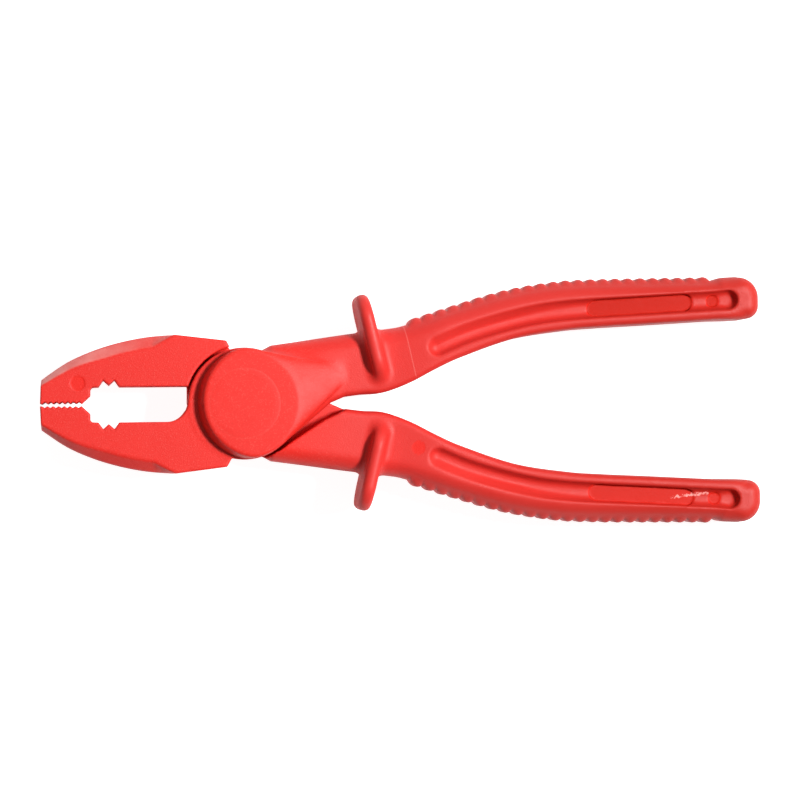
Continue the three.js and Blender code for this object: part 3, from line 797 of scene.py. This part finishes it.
pieces = [
    (make_lever("front_lever_moulding", False), "front_half", "front_lever", "red_plastic"),
    (make_lever("rear_lever_moulding", True), "rear_half", "rear_lever", "red_plastic"),
    (make_cap("front_cap_moulding", False), "front_half", "front_pivot_cap", "cap_plastic"),
    (make_cap("rear_cap_moulding", True), "rear_half", "rear_pivot_cap", "cap_plastic"),
]
looks = {
    "red_plastic": moulded_plastic("red_plastic_look"),
    "cap_plastic": moulded_plastic("cap_plastic_look", grain=0.4),
    "bearing_plastic": bearing_plastic(),
    "steel": plated_steel(),
}
for piece, body, node, slot in pieces:
    piece.data.materials.append(looks[slot])
    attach(piece, body)
    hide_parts(node)

slots = {entry["node"]: entry["material_slot"] for entry in frame["record"]["subparts"]}
replaced = {node for _, _, node, _ in pieces}
for node, obj in frame["nodes"].items():
    if node not in replaced:
        obj.data.materials.clear()
        obj.data.materials.append(looks[slots[node]])

# ---------------------------------------------------------------- floor, light and camera, in metres

MIDDLE = (0.048, 0, 0.013)
KEY_LIGHT = {"place": (0.684, 0.158, 1.019), "size": 0.18, "power": 18.8}
SIDE_LIGHT = {"place": (-0.1, 0.95, 0.6), "size": 0.5, "power": 1.2}
WORLD_LIGHT = 0.14
FLOOR_DROP = 0.0004
FLOOR_GLOW = (0.46, 0.93)  # as the tool sees it, and as the camera sees it
CAMERA_PLACE, CAMERA_TARGET = (-0.0379, -0.0110, 0.913), (0.0481, 0.00077, 0.013)
CAMERA_ROLL = np.radians(-0.551)
CAMERA_LENS, CAMERA_SENSOR = 132.5, 36


def make_floor():
    """A pale floor, a little below the tool, that is brighter to the camera than to the tool."""
    bm = bmesh.new()
    bmesh.ops.create_grid(bm, x_segments=4, y_segments=4, size=3)
    mesh = bpy.data.meshes.new("floor")
    bm.to_mesh(mesh)
    bm.free()
    floor = bpy.data.objects.new("floor", mesh)
    floor.location.z = -FLOOR_DROP
    bpy.context.scene.collection.objects.link(floor)
    n = Nodes("floor_look")
    tone = n.remap(n.noise(3, 3), 0.3, 0.7, 0.0, 1.0)
    n.link(n.mix(tone, (0.55, 0.55, 0.55, 1), (0.60, 0.60, 0.60, 1)), n.shader.inputs["Base Color"])
    n.shader.inputs["Roughness"].default_value = 0.9
    n.shader.inputs["Emission Color"].default_value = (1, 1, 1, 1)
    seen = n.tree.nodes.new("ShaderNodeLightPath").outputs["Is Camera Ray"]
    n.link(n.remap(seen, 0, 1, *FLOOR_GLOW), n.shader.inputs["Emission Strength"])
    mesh.materials.append(n.material)


def area_light(name, place, size, power):
    data = bpy.data.lights.new(name, "AREA")
    data.size = size
    data.energy = power
    light = bpy.data.objects.new(name, data)
    light.location = place
    direction = Vector(MIDDLE) - Vector(place)
    light.rotation_euler = direction.to_track_quat("-Z", "Y").to_euler()
    bpy.context.scene.collection.objects.link(light)


def make_camera():
    """Above the jaws, aimed at the middle of the tool, turned half a degree."""
    place = Vector(CAMERA_PLACE)
    data = bpy.data.cameras.new("camera")
    camera = bpy.data.objects.new("camera", data)
    backward = (place - Vector(CAMERA_TARGET)).normalized()
    up = Vector((0, 1, 0))
    right = up.cross(backward).normalized()
    up = backward.cross(right)
    turn = Matrix((right, up, backward)).transposed().to_4x4()
    camera.matrix_world = Matrix.Translation(place) @ turn @ Matrix.Rotation(CAMERA_ROLL, 4, "Z")
    data.sensor_width = CAMERA_SENSOR
    data.lens = CAMERA_LENS
    bpy.context.scene.collection.objects.link(camera)
    bpy.context.scene.camera = camera


make_floor()
area_light("key", **KEY_LIGHT)
area_light("side", **SIDE_LIGHT)
world = bpy.data.worlds.new("studio")
bpy.context.scene.world = world
world.use_nodes = True
world.node_tree.nodes["Background"].inputs["Color"].default_value = (1, 1, 1, 1)
world.node_tree.nodes["Background"].inputs["Strength"].default_value = WORLD_LIGHT
bpy.context.scene.view_settings.view_transform = "Standard"
make_camera()
